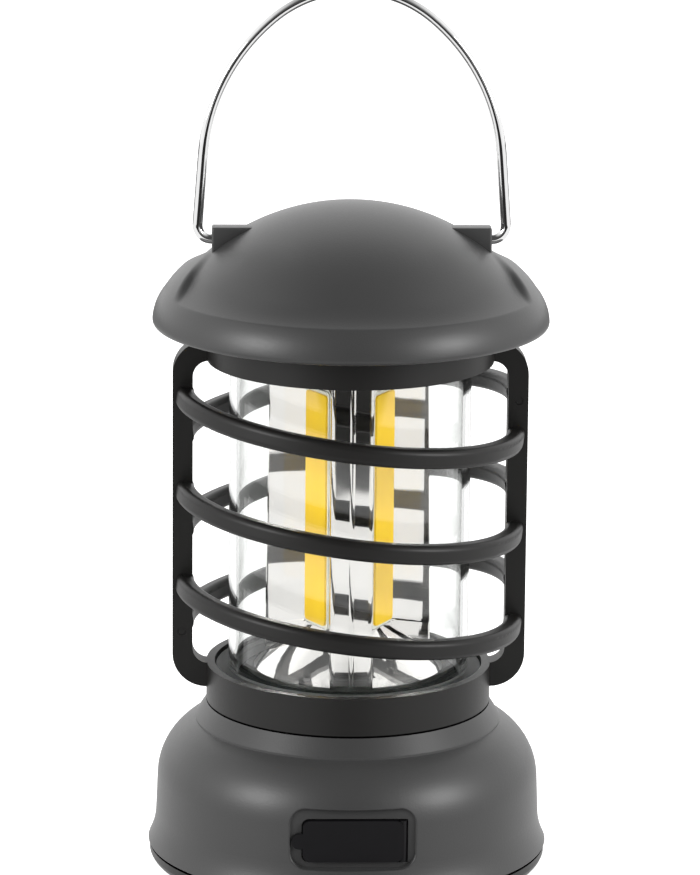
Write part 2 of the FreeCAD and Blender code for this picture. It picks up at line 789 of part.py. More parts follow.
def port_flap():
    """The rubber flap over the sockets: a plate with a pull tab and the round bead that it hinges on."""
    flap = body("flap")
    front_y = flap_back_y - s.flap_thick
    drawing = sketch_on(flap, "XZ_Plane", "flap_outline", lift=-flap_back_y)
    rounded_box(drawing, 0, s.flap_height_mid, s.flap_width, s.flap_height, s.flap_corner)
    feature(flap, "Pad", drawing, Length=s.flap_thick)
    bead = sketch_on(flap, "XY_Plane", "flap_bead", lift=s.flap_height_mid - s.flap_height / 2)
    circle(bead, hinge_x, land_y, s.hinge_bead)
    feature(flap, "Pad", bead, Length=s.flap_height)
    tab = sketch_on(flap, "XZ_Plane", "flap_tab", lift=-(front_y + s.tab_thick))
    tip = -s.flap_width / 2 - s.tab_length
    low = s.flap_height_mid - s.tab_height / 2
    high = s.flap_height_mid + s.tab_height / 2
    nose = s.tab_round
    outline(tab, (-s.flap_width / 2 + s.flap_corner, low), (-s.flap_width / 2 + s.flap_corner, high),
            (tip + nose, high), (tip, high - nose, nose), (tip, low + nose), (tip + nose, low, nose))
    feature(flap, "Pad", tab, Length=s.tab_thick)
    node("port_flap", flap)


def power_button():
    """The push button at the back, held in by its flange."""
    button = body("button")
    drawing = sketch_on(button, "XZ_Plane", "button_flange", lift=-button_back_y)
    circle(drawing, 0, s.button_height, s.button_flange)
    feature(button, "Pad", drawing, Length=s.button_flange_thick, Reversed=True)
    drawing = sketch_on(button, "XZ_Plane", "button_cap", lift=-button_back_y)
    circle(drawing, 0, s.button_height, s.button_radius)
    tip_y = button_land_y + s.button_proud
    cap = feature(button, "Pad", drawing, Length=tip_y - button_back_y, Reversed=True)

    def at_tip(edge):
        return edge.BoundBox.YMin > tip_y.value - TOUCH

    round_edges(button, cap, s.button_round, at_tip, "button_round")
    node("power_button", button)


# Light

def light_deck():
    """The black seat on the base for the lens and the reflector, grooved for the cage's rib."""
    deck = body("deck")
    groove = spigot_radius - s.rib_depth
    plinth = lens_bore - s.plinth_gap
    head_z = plinth_z - s.screw_length / 2
    turned(
        deck, "deck_profile",
        (s.wire_hole, collar_z), (spigot_radius, collar_z), (spigot_radius, rib_z - s.fit_gap),
        (groove, rib_z - s.fit_gap), (groove, rib_z + s.rib_thick + s.fit_gap),
        (spigot_radius, rib_z + s.rib_thick + s.fit_gap), (spigot_radius, deck_z), (plinth, deck_z),
        (plinth, plinth_z), (s.wire_hole, plinth_z))
    holes = [screw_hole(x, y, collar_z - s.shell_top, s.screw_length)
             for x, y in around(SCREW_COUNT, deck_screw_circle, PORT_CLEAR_ANGLE)]
    for x, y in around(SCREW_COUNT, reflector_screw_circle, -PORT_CLEAR_ANGLE):
        holes.append(screw_hole(x, y, collar_z, s.collar_rise * 2))
        holes.append(screw_seat(x, y, head_z))
        holes.append(rod(s.screw_head_radius + s.slip_gap, head_z - collar_z, x, y, collar_z))
    node("light_deck", cut(deck, *holes))
    node("deck_screws", group(*[screw(x, y, collar_z - s.shell_top)
                                for x, y in around(SCREW_COUNT, deck_screw_circle, PORT_CLEAR_ANGLE)]))
    spots = around(SCREW_COUNT, reflector_screw_circle, -PORT_CLEAR_ANGLE)
    node("reflector_screws", group(*[screw(x, y, head_z) for x, y in spots]))


def seal(label, z):
    ring = body(label)
    turned(ring, label + "_profile",
           (lens_bore, z), (lens_flange - s.fit_gap, z),
           (lens_flange - s.fit_gap, z + s.seal_thick), (lens_bore, z + s.seal_thick))
    node(label, ring)


def lens():
    """The clear tube, with the flange that the collar holds down."""
    tube = body("lens")
    inner = lens_bore
    turned(tube, "lens_profile",
           (inner, lens_z), (lens_flange, lens_z), (lens_flange, lens_z + s.lens_flange_thick),
           (lens_radius, lens_z + s.lens_flange_thick), (lens_radius, lens_top_z), (inner, lens_top_z))
    node("lens", tube)


def core_plan(core, name, z, inset):
    """The reflector's outline at a height: three round-edged columns, each with a bead, and petals' arcs."""
    plan = sketch_on(core, "XY_Plane", name, lift=z)
    face = column_radius - inset
    crown = face + s.column_crown
    edge = face - s.column_roll
    corners = []
    for column in range(STRIP_COUNT):
        angle = math.radians(360 * (column + 0.5) / STRIP_COUNT)
        out = (math.cos(angle), math.sin(angle))
        side = (-math.sin(angle), math.cos(angle))
        for along, across, *bend in (
                (edge, -column_half, petal_radius - inset), (face, -s.column_flat, s.column_roll),
                (crown, -s.bead_half), (crown, s.bead_half, s.bead_round),
                (face, s.column_flat), (edge, column_half, s.column_roll)):
            spot = [along * outward + across * sideways for outward, sideways in zip(out, side)]
            corners.append((*spot, *bend))
    return outline(plan, *corners)


def petals(bay_mouth, mouth_half):
    """The bays' feet, each as wide as its bay: the conical petals, and the rooms to clear above them."""
    petal_rim_z = plinth_z + s.bay_mouth_lip
    cone = (s.bay_back, bay_low_z), (petal_radius, petal_rim_z)
    above = body("petal_above")
    turned(above, "room_profile", *cone, (bay_mouth, petal_rim_z), (bay_mouth, bay_low_z))
    below = body("petal_below")
    turned(below, "petal_profile", *cone, (petal_radius, plinth_z), (s.bay_back, plinth_z))
    feet, rooms = [], []
    for number in range(STRIP_COUNT):
        spread = body("petal_spread")
        plan = outline(
            sketch_on(spread, "XY_Plane", "spread_plan", lift=plinth_z),
            (s.bay_back, s.fit_gap - s.bay_back_half), (bay_mouth, s.fit_gap - mouth_half),
            (bay_mouth, mouth_half - s.fit_gap), (s.bay_back, s.bay_back_half - s.fit_gap))
        feature(spread, "Pad", plan, Length=s.bay_floor_rise)
        turn = FIRST_BAY_ANGLE + 360 * number / STRIP_COUNT
        spread.Placement = Placement(Vector(), Rotation(Vector(0, 0, 1), turn))
        feet.append(shared(spread, below))
        rooms.append(shared(spread, above))
    return feet, rooms


def reflector():
    """The plated reflector: a drafted three-columned core with three flared bays and their boards' beds."""
    core = body("reflector")
    height = reflector_top_z - plinth_z
    foot = core_plan(core, "core_foot", plinth_z, as_size(0))
    head = core_plan(core, "core_head", reflector_top_z, height * sine(s.core_draft) / cosine(s.core_draft))
    column = core.newObject("PartDesign::AdditiveLoft", "column")
    column.Profile = foot
    column.Sections = [head]
    column.Ruled = True

    bay_mouth = petal_radius + s.bay_reach
    mouth_half = s.bay_back_half + s.bay_flare * (bay_mouth - s.bay_back)
    back = sketch_on(core, "YZ_Plane", "bay_back", lift=s.bay_back)
    mouth = sketch_on(core, "YZ_Plane", "bay_mouth", lift=bay_mouth)
    bay_height = bay_high_z - bay_low_z
    bay_mid = bay_low_z + bay_height / 2
    rounded_box(back, as_size(0), bay_mid, 2 * s.bay_back_half, bay_height, s.bay_back_corner)
    mouth_height = height - 2 * s.bay_mouth_lip
    rounded_box(mouth, as_size(0), plinth_z + height / 2, 2 * mouth_half, mouth_height, s.bay_mouth_corner)
    bay = core.newObject("PartDesign::SubtractiveLoft", "bay")
    bay.Profile = back
    bay.Sections = [mouth]
    bay.Ruled = True
    bed = sketch_on(core, "YZ_Plane", "board_bed", lift=s.bay_back - s.led_board_thick)
    rounded_box(bed, as_size(0), bay_mid, 2 * s.bay_back_half, bay_height, s.bay_back_corner)
    pocket = feature(core, "Pocket", bed, Length=s.led_board_thick * 2, Reversed=True)
    doc.recompute()
    pattern = core.newObject("PartDesign::PolarPattern", "bays")
    pattern.Originals = [bay, pocket]
    pattern.Axis = (foot, ["N_Axis"])
    pattern.Angle = 360.0
    pattern.Occurrences = STRIP_COUNT
    core.Tip = pattern
    bore = circle(sketch_on(core, "XY_Plane", "wire_bore", lift=reflector_top_z), 0, 0, s.wire_hole)
    feature(core, "Pocket", bore, Type="ThroughAll")
    holes = [screw_hole(x, y, plinth_z - s.slip_gap, s.screw_length)
             for x, y in around(SCREW_COUNT, reflector_screw_circle, -PORT_CLEAR_ANGLE)]
    core.Placement = Placement(Vector(), Rotation(Vector(0, 0, 1), FIRST_BAY_ANGLE))
    feet, rooms = petals(bay_mouth, mouth_half)
    node("reflector", cut(fused(core, *feet), *holes, *rooms))


def light_strips():
    """Three boards in the bays' beds, each with its yellow emitter strip."""
    low = bay_low_z + s.fit_gap
    height = bay_high_z - bay_low_z - 2 * s.fit_gap
    width = 2 * s.bay_back_half - 2 * s.fit_gap
    for number in range(STRIP_COUNT):
        turn = Rotation(Vector(0, 0, 1), FIRST_BAY_ANGLE + 360 * number / STRIP_COUNT)
        for label, thick, across, margin in (
                ("led_board", s.led_board_thick, width, as_size(0)),
                ("led_strip", s.strip_thick, s.strip_width, s.strip_margin)):
            start = s.bay_back - s.led_board_thick if label == "led_board" else s.bay_back
            piece = body(f"{label}_{number + 1}")
            drawing = sketch_on(piece, "YZ_Plane", f"{label}_{number + 1}_face", lift=start)
            rounded_box(drawing, as_size(0), low + height / 2, across, height - 2 * margin,
                        s.bay_back_corner)
            feature(piece, "Pad", drawing, Length=thick)
            piece.Placement = Placement(Vector(), turn)
            node(f"{label}_{number + 1}", piece)


def ceiling():
    """The black plate under the roof that caps the lens, grooved for the cage's upper rib."""
    plate = body("ceiling")
    groove = spigot_radius - s.rib_depth
    turned(
        plate, "ceiling_profile",
        (0, ceiling_z), (spigot_radius, ceiling_z), (spigot_radius, top_rib_z - s.fit_gap),
        (groove, top_rib_z - s.fit_gap), (groove, top_rib_z + s.rib_thick + s.fit_gap),
        (spigot_radius, top_rib_z + s.rib_thick + s.fit_gap), (spigot_radius, ceiling_top_z),
        (0, ceiling_top_z))
    cuts = []
    for x, y in around(SCREW_COUNT, roof_boss_circle, PORT_CLEAR_ANGLE):
        cuts.append(screw_hole(x, y, ceiling_z, s.ceiling_rise * 2))
        cuts.append(screw_seat(x, y, ceiling_z + s.screw_head_thick + s.slip_gap))
    node("ceiling", cut(plate, *cuts))
    node("roof_screws", group(*[screw(x, y, ceiling_z + s.screw_head_thick + s.slip_gap)
                                for x, y in around(SCREW_COUNT, roof_boss_circle, PORT_CLEAR_ANGLE)]))


# Guard cage

def cage_half(label):
    """Half of the guard: half collars with ribs, two side frames, slanted bars, dowels and dowel holes."""
    half = body(label)
    half.AllowCompound = True
    rings = sketch_on(half, "XZ_Plane", label + "_rings")
    bore = collar_bore
    rib = bore - s.rib_depth
    outline(
        rings, (bore, collar_z), (s.collar_radius, collar_z), (s.collar_radius, window_z), (bore, window_z),
        (bore, rib_z + s.rib_thick), (rib, rib_z + s.rib_thick), (rib, rib_z), (bore, rib_z))
    outline(
        rings, (bore, ring_z), (s.collar_radius, ring_z), (s.collar_radius, ring_z + s.ring_rise),
        (bore, ring_z + s.ring_rise), (bore, top_rib_z + s.rib_thick), (rib, top_rib_z + s.rib_thick),
        (rib, top_rib_z), (bore, top_rib_z))
    feature(half, "Revolution", rings, ReferenceAxis=(rings, ["V_Axis"]), Angle=180.0, Reversed=True)

    frames = sketch_on(half, "XZ_Plane", label + "_frames")
    inner = frame_half - s.frame_width
    low = window_z - s.arm_thick
    high = ring_z + s.top_arm_thick
    hold = s.collar_radius - s.collar_wall / 2
    wide, tight = s.frame_corner, s.frame_inner_corner
    for side in (1, -1):
        outline(
            frames, (side * hold, low), (side * (frame_half - wide), low),
            (side * frame_half, low + wide, side * wide), (side * frame_half, high - wide),
            (side * (frame_half - wide), high, side * wide), (side * hold, high), (side * hold, ring_z),
            (side * (inner - tight), ring_z), (side * inner, ring_z - tight, -side * tight),
            (side * inner, window_z + tight), (side * (inner - tight), window_z, -side * tight),
            (side * hold, window_z))
    feature(half, "Pad", frames, Length=s.frame_thick)

    section = sketch_on(half, "XZ_Plane", label + "_bar", rise=window_z + s.first_bar, turn=-s.bar_tilt)
    rounded_box(section, frame_half - s.bar_inset, as_size(0), s.bar_depth, s.bar_height, s.bar_corner)
    bar = feature(half, "Revolution", section, ReferenceAxis=(section, ["V_Axis"]), Angle=180.0,
                  Reversed=True)
    doc.recompute()
    bars = half.newObject("PartDesign::LinearPattern", label + "_bars")
    bars.Originals = [bar]
    bars.Direction = (rings, ["V_Axis"])
    bind(bars, Length=2 * s.bar_pitch)
    bars.Occurrences = 3
    half.Tip = bars

    dowel_x = frame_half - s.dowel_inset
    dowels = sketch_on(half, "XZ_Plane", label + "_dowels")
    circle(dowels, dowel_x, window_z + s.low_dowel, s.dowel_radius)
    circle(dowels, -dowel_x, window_z + s.high_dowel, s.dowel_radius)
    feature(half, "Pad", dowels, Length=s.frame_thick - s.fit_gap, Reversed=True)
    holes = sketch_on(half, "XZ_Plane", label + "_dowel_holes", lift=s.frame_thick)
    circle(holes, -dowel_x, window_z + s.low_dowel, s.dowel_radius + s.screw_fit)
    circle(holes, dowel_x, window_z + s.high_dowel, s.dowel_radius + s.screw_fit)
    feature(half, "Pocket", holes, Type="ThroughAll")
    return half


def cage():
    node("front_cage", cage_half("front_half"))
    rear = cage_half("rear_half")
    rear.Placement = Placement(Vector(), Rotation(Vector(0, 0, 1), 180))
    node("rear_cage", rear)


# Roof and bail

def roof():
    """The domed roof: a hollow flared bell with a raised shoulder and a bail ear at each side."""
    dome = body("roof")
    apex_z = rim_z + s.dome_rise
    flare_z = apex_z - s.dome_curve + root(s.dome_curve * s.dome_curve - s.flare_radius * s.flare_radius)
    turned(
        dome, "roof_profile",
        (0, rim_z), (s.roof_radius - s.rim_edge, rim_z), (s.roof_radius, rim_z + s.rim_edge, s.rim_edge),
        (s.roof_radius, rim_z + s.rim_rise), (s.crease_radius, rim_z + s.crease_rise, s.crease_curve),
        (s.flare_radius, flare_z, -s.flare_curve), (0, apex_z, s.dome_curve))

    fan = sketch_on(dome, "XY_Plane", "shoulder_fan", lift=rim_z + s.shoulder_foot)
    spread = (s.roof_radius - s.shoulder_apex) * s.shoulder_fan
    for side in (1, -1):
        outline(fan, (side * s.shoulder_apex, 0), (side * s.roof_radius, side * -1 * spread),
                (side * s.roof_radius, side * spread))
    feature(dome, "Pad", fan, Length=s.shoulder_peak - s.shoulder_foot)
    beyond = 2 * s.roof_radius
    above = rim_z + s.shoulder_peak + s.slip_gap
    turned(
        dome, "shoulder_slope",
        (s.shoulder_apex, above), (s.shoulder_apex, rim_z + s.shoulder_peak),
        (s.shoulder_top_radius, rim_z + s.shoulder_top),
        (s.shoulder_foot_radius, rim_z + s.shoulder_foot, -s.shoulder_round),
        (beyond, rim_z + s.shoulder_foot), (beyond, above), kind="Groove")

    ears = sketch_on(dome, "XZ_Plane", "ear_outline", lift=-s.ear_width / 2)
    for side in (1, -1):
        root_x, tip_x = side * s.ear_root, side * s.ear_reach
        outline(ears, (root_x, rim_z + s.shoulder_top), (tip_x, rim_z + s.shoulder_top),
                (tip_x, rim_z + s.ear_top), (root_x, rim_z + s.ear_top))
    blocks = feature(dome, "Pad", ears, Length=s.ear_width)
    face, top = s.ear_reach.value, (rim_z + s.ear_top).value

    def outer_edge(edge):
        reaches_top = max(end.Z for end in edge.Vertexes) > top - TOUCH
        return reaches_top and all(abs(abs(end.X) - face) < TOUCH for end in edge.Vertexes)

    round_edges(dome, blocks, s.ear_round, outer_edge, "ear_rounds")

    inner_curve = s.dome_curve - s.roof_wall
    inner_flare = s.flare_radius - s.roof_wall
    inner_apex = apex_z - s.roof_wall
    inner_flare_z = inner_apex - inner_curve + root(inner_curve * inner_curve - inner_flare * inner_flare)
    inner_rim = s.roof_radius - s.roof_wall
    turned(
        dome, "roof_hollow",
        (0, rim_z - s.slip_gap), (inner_rim, rim_z - s.slip_gap), (inner_rim, rim_z + s.rim_rise),
        (inner_flare, inner_flare_z, -s.hollow_curve), (0, inner_apex, inner_curve), kind="Groove")
    bosses = [rod(s.roof_boss_radius, s.ear_top + s.rim_gap, x, y, ceiling_top_z)
              for x, y in around(SCREW_COUNT, roof_boss_circle, PORT_CLEAR_ANGLE)]
    dome_solid = body("dome_space")
    turned(dome_solid, "boss_limit",
           (0, rim_z - s.rim_gap), (inner_rim, rim_z - s.rim_gap), (inner_rim, rim_z),
           (inner_flare, inner_flare_z + s.roof_wall / 2), (0, inner_apex + s.roof_wall / 2, inner_curve))
    trimmed = doc.addObject("Part::MultiCommon", "roof_bosses")
    trimmed.Shapes = [dome_solid, fused(*bosses)]
    cuts = [screw_hole(x, y, ceiling_top_z - s.slip_gap, s.screw_length)
            for x, y in around(SCREW_COUNT, roof_boss_circle, PORT_CLEAR_ANGLE)]
    for side in (1, -1):
        start = s.ear_reach - s.pivot_depth - s.slip_gap if side > 0 else -s.ear_reach - s.slip_gap
        hole_depth = s.pivot_depth + 2 * s.slip_gap
        cuts.append(rod(s.wire_radius + s.screw_fit, hole_depth, start, 0, pivot_z, SIDEWAYS))
    node("roof", cut(fused(dome, trimmed), *cuts))


def bail():
    """The bent wire handle: its turned-in ends sit in the roof's ears."""
    wire = body("bail")
    lean = s.leg_lean
    leg_half = s.ear_reach + s.ear_clear
    bend_x = leg_half - s.leg_bend
    leg_low = (leg_half - s.leg_bend * (1 - cosine(lean)), pivot_z + s.leg_bend * (1 + sine(lean)))
    leg_high = (leg_low[0] - s.leg_length * sine(lean), leg_low[1] + s.leg_length * cosine(lean))
    turn = lean + s.arch_turn
    arch_centre = (leg_high[0] - s.arch_curve * cosine(lean), leg_high[1] - s.arch_curve * sine(lean))
    arch_end = (arch_centre[0] + s.arch_curve * cosine(turn), arch_centre[1] + s.arch_curve * sine(turn))
    crown = arch_end[0] / cosine(turn)
    route = sketch_on(wire, "XZ_Plane", "bail_route")
    start = s.ear_reach - s.pivot_depth
    points = [
        (start, pivot_z), (bend_x, pivot_z), leg_low + (s.leg_bend,), leg_high, arch_end + (s.arch_curve,),
        (-arch_end[0], arch_end[1], crown), (-leg_high[0], leg_high[1], s.arch_curve),
        (-leg_low[0], leg_low[1]), (-bend_x, pivot_z, s.leg_bend), (-start, pivot_z)]
    open_path(route, *points)
    section = sketch_on(wire, "YZ_Plane", "bail_section", lift=start)
    circle(section, 0, pivot_z, s.wire_radius)
    pipe = wire.newObject("PartDesign::AdditivePipe", "bail_wire")
    pipe.Profile = section
    pipe.Spine = (route, [f"Edge{number}" for number in range(1, len(points))])
    node("bail", wire)


def build():
    bottom_cover()
    foot_ring()
    base_shell()
    cell_and_boards()
    sockets()
    port_flap()
    power_button()
    light_deck()
    seal("lens_seal", deck_z)
    lens()
    reflector()
    light_strips()
    seal("cap_seal", lens_top_z)
    ceiling()
    cage()
    roof()
    bail()


def check_and_write():
    doc.recompute()
    for thing in doc.Objects:
        faults = [state for state in thing.State if state in ("Invalid", "Error")]
        assert not faults, f"{thing.Name} ({thing.Label}): {thing.State}"
    os.makedirs("parts", exist_ok=True)
    for thing in nodes:
        shape = thing.Shape
        assert not shape.isNull() and shape.isValid(), thing.Label
        box = shape.BoundBox
        print(f"{thing.Label}: {len(shape.Solids)} solid, {shape.Volume / 1000:.2f} cm3, "
              f"z {box.ZMin:.2f} to {box.ZMax:.2f}")
        shape.exportStep(f"parts/{thing.Label}.step")


build()
check_and_write()
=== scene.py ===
"""The camping lantern dressed for its picture.

The CAD pieces get their finishes, the roof is modelled anew with softer shoulders, the bottom
cover's rim is closed, and a studio and a camera are set up round the lantern.
"""

import math

import bpy
from mathutils import Matrix, Vector


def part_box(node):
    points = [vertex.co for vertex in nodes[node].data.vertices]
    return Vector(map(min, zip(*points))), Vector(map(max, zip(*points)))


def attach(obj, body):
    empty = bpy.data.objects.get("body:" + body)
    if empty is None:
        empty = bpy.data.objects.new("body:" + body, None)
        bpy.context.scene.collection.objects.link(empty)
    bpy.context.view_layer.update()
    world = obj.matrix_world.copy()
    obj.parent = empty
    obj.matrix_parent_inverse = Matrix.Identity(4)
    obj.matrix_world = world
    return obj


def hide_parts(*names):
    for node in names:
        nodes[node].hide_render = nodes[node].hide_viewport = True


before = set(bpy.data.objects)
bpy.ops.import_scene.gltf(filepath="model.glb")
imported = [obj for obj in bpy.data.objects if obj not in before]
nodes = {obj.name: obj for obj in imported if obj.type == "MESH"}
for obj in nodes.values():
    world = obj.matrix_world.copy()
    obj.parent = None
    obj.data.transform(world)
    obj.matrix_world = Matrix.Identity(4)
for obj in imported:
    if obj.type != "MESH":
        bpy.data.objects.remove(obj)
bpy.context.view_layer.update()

MM = 0.001


# Small helpers

# The Mix node's sockets go by number: those for colours and for numbers share their names.
SHARE = 0
COLOUR_A, COLOUR_B, COLOUR_OUT = 6, 7, 2
NUMBER_A, NUMBER_B, NUMBER_OUT = 2, 3, 0


def linear(hex_colour):
    """An sRGB hex colour as the linear RGBA that a shader socket takes."""
    channels = [int(hex_colour[i:i + 2], 16) / 255 for i in (1, 3, 5)]
    return [c / 12.92 if c <= 0.04045 else ((c + 0.055) / 1.055) ** 2.4 for c in channels] + [1.0]


def add(tree, kind, inputs=None, **settings):
    """Add a node with its settings; an input is either a value or the socket that feeds it."""
    made = tree.nodes.new(kind)
    for name, value in settings.items():
        setattr(made, name, value)
    for socket, value in (inputs or {}).items():
        if isinstance(value, bpy.types.NodeSocket):
            tree.links.new(value, made.inputs[socket])
        else:
            made.inputs[socket].default_value = value
    return made


def new_material(name):
    """An empty material: itself, its tree, its output node and Object coordinates."""
    made = bpy.data.materials.new(name)
    made.use_nodes = True
    tree = made.node_tree
    tree.nodes.clear()
    out = tree.nodes.new("ShaderNodeOutputMaterial")
    coords = tree.nodes.new("ShaderNodeTexCoord").outputs["Object"]
    return made, tree, out, coords


def per_metre(millimetres):
    """A pattern's scale, from the width of its features in millimetres."""
    return 1 / (millimetres * MM)


# Finishes

COLLAR_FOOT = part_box("front_cage")[0][2]
SHELL_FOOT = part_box("base_shell")[0][2]
COLLAR_GAP_SHADE = 0.5 * MM     # reach of the painted shade in the gap above the collar's foot
COVER_GAP_SHADE = 0.65 * MM     # reach of the painted shade in the gap below the shell's foot
FLANGE_THICK = 1.9 * MM
FLANGE_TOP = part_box("lens")[0][2] + FLANGE_THICK
SATIN_FADE = 0.2 * MM       # height over which the flange's satin turns into polish
PETAL_DISH = -0.4           # slope of the petals' dish, down and away from the middle


def soft_touch_abs():
    """Moulded ABS under a soft-touch lacquer: matt grey, an even grain and wide soft highlights.

    The real grain is about a tenth of a millimetre wide, and is drawn coarser so that it shows.
    """
    made, tree, out, coords = new_material("soft_touch_abs")
    grain = add(tree, "ShaderNodeTexNoise", {
        "Vector": coords, "Scale": per_metre(0.5), "Detail": 3.0})
    drift = add(tree, "ShaderNodeTexNoise", {
        "Vector": coords, "Scale": per_metre(30), "Detail": 2.0})
    colour = add(tree, "ShaderNodeMix", {
        SHARE: drift.outputs["Fac"], COLOUR_A: linear("#393939"), COLOUR_B: linear("#3e3e3e")},
        data_type="RGBA")
    rough = add(tree, "ShaderNodeMapRange", {
        "Value": grain.outputs["Fac"], "To Min": 0.36, "To Max": 0.45})
    bump = add(tree, "ShaderNodeBump", {
        "Height": grain.outputs["Fac"], "Strength": 0.45, "Distance": 0.05 * MM})
    shader = add(tree, "ShaderNodeBsdfPrincipled", {
        "Base Color": colour.outputs[COLOUR_OUT], "Roughness": rough.outputs[0],
        "Normal": bump.outputs[0], "IOR": 1.5})
    tree.links.new(shader.outputs[0], out.inputs[0])
    return made


def black_abs():
    """Black moulded ABS from a spark-eroded mould: satin, with a faint grain and soft highlights.

    The grain is drawn coarser than it is, so that it shows. The gaps above and below the base
    shell are painted shade: black bands without shine, because no light gets into them.
    """
    made, tree, out, coords = new_material("black_abs")
    grain = add(tree, "ShaderNodeTexNoise", {
        "Vector": coords, "Scale": per_metre(0.6), "Detail": 3.0})
    rough = add(tree, "ShaderNodeMapRange", {
        "Value": grain.outputs["Fac"], "To Min": 0.36, "To Max": 0.48})
    bump = add(tree, "ShaderNodeBump", {
        "Height": grain.outputs["Fac"], "Strength": 0.15, "Distance": 0.05 * MM})
    # Painted shade: a black band without shine just above the collar's foot and just below the
    # shell's foot, where the gaps get no light.
    height = add(tree, "ShaderNodeSeparateXYZ", {0: coords}).outputs["Z"]
    above = add(tree, "ShaderNodeMath", {
        0: height, 1: COLLAR_FOOT, 2: COLLAR_GAP_SHADE}, operation="COMPARE")
    below = add(tree, "ShaderNodeMath", {
        0: height, 1: SHELL_FOOT, 2: COVER_GAP_SHADE}, operation="COMPARE")
    gap_shade = add(tree, "ShaderNodeMath", {
        0: above.outputs[0], 1: below.outputs[0]}, operation="MAXIMUM")
    colour = add(tree, "ShaderNodeMix", {
        SHARE: gap_shade.outputs[0], COLOUR_A: linear("#171615"), COLOUR_B: linear("#030303")},
        data_type="RGBA")
    shine = add(tree, "ShaderNodeMapRange", {
        "Value": gap_shade.outputs[0], "To Min": 0.3, "To Max": 0.0})
    shader = add(tree, "ShaderNodeBsdfPrincipled", {
        "Base Color": colour.outputs[COLOUR_OUT], "Roughness": rough.outputs[0],
        "Specular IOR Level": shine.outputs[0], "Normal": bump.outputs[0]})
    tree.links.new(shader.outputs[0], out.inputs[0])
    return made


def matt_black_abs():
    """Black moulded ABS, coarsely spark-eroded so that nothing shines back into the lens."""
    made, tree, out, coords = new_material("matt_black_abs")
    grain = add(tree, "ShaderNodeTexNoise", {
        "Vector": coords, "Scale": per_metre(0.4), "Detail": 3.0})
    colour = add(tree, "ShaderNodeMix", {
        SHARE: grain.outputs["Fac"], COLOUR_A: linear("#141615"), COLOUR_B: linear("#1a1d1b")},
        data_type="RGBA")
    bump = add(tree, "ShaderNodeBump", {
        "Height": grain.outputs["Fac"], "Strength": 0.4, "Distance": 0.1 * MM})
    shader = add(tree, "ShaderNodeBsdfPrincipled", {
        "Base Color": colour.outputs[COLOUR_OUT], "Roughness": 0.75,
        "Specular IOR Level": 0.2, "Normal": bump.outputs[0]})
    tree.links.new(shader.outputs[0], out.inputs[0])
    return made


def black_rubber():
    """Moulded thermoplastic rubber: near black and dull, with a little bloom."""
    made, tree, out, coords = new_material("black_rubber")
    bloom = add(tree, "ShaderNodeTexNoise", {
        "Vector": coords, "Scale": per_metre(3), "Detail": 4.0})
    colour = add(tree, "ShaderNodeMix", {
        SHARE: bloom.outputs["Fac"], COLOUR_A: linear("#0b0a0c"), COLOUR_B: linear("#100f12")},
        data_type="RGBA")
    bump = add(tree, "ShaderNodeBump", {
        "Height": bloom.outputs["Fac"], "Strength": 0.1, "Distance": 0.1 * MM})
    shader = add(tree, "ShaderNodeBsdfPrincipled", {
        "Base Color": colour.outputs[COLOUR_OUT], "Roughness": 0.5,
        "Specular IOR Level": 0.22, "Normal": bump.outputs[0]})
    tree.links.new(shader.outputs[0], out.inputs[0])
    return made


def chromed_steel():
    """Polished chrome on drawn steel wire: a mirror that is here and there a little less sharp."""
    made, tree, out, coords = new_material("chromed_steel")
    polish = add(tree, "ShaderNodeTexNoise", {
        "Vector": coords, "Scale": per_metre(1.5), "Detail": 3.0})
    rough = add(tree, "ShaderNodeMapRange", {
        "Value": polish.outputs["Fac"], "To Min": 0.02, "To Max": 0.06})
    shader = add(tree, "ShaderNodeBsdfPrincipled", {
        "Base Color": linear("#dcdcdc"), "Metallic": 1.0, "Roughness": rough.outputs[0]})
    tree.links.new(shader.outputs[0], out.inputs[0])
    return made


def plated_reflector():
    """Vacuum-metallised ABS: a bright mirror, a little uneven where the moulding shrank.

    Its petals, the faces that look upward, are shaded as if dished to both sides of the lantern.
    """
    made, tree, out, coords = new_material("plated_reflector")
    ripple = add(tree, "ShaderNodeTexNoise", {
        "Vector": coords, "Scale": per_metre(9), "Detail": 1.0})
    shrunk = add(tree, "ShaderNodeBump", {
        "Height": ripple.outputs["Fac"], "Strength": 0.12, "Distance": 0.3 * MM})
    sideways = add(tree, "ShaderNodeSeparateXYZ", {0: coords}).outputs["X"]
    across = add(tree, "ShaderNodeMath", {0: sideways}, operation="ABSOLUTE")
    dish = add(tree, "ShaderNodeMath", {
        0: across.outputs[0], 1: PETAL_DISH}, operation="MULTIPLY")
    facing = add(tree, "ShaderNodeNewGeometry").outputs["Normal"]
    upward = add(tree, "ShaderNodeSeparateXYZ", {0: facing}).outputs["Z"]
    petals = add(tree, "ShaderNodeMapRange", {
        "Value": upward, "From Min": 0.3, "From Max": 0.5})
    bump = add(tree, "ShaderNodeBump", {
        "Height": dish.outputs[0], "Strength": petals.outputs[0], "Distance": 1.0,
        "Normal": shrunk.outputs[0]})
    shader = add(tree, "ShaderNodeBsdfPrincipled", {
        "Base Color": linear("#f5f2f0"), "Metallic": 1.0, "Roughness": 0.04,
        "Normal": bump.outputs[0]})
    tree.links.new(shader.outputs[0], out.inputs[0])
    return made


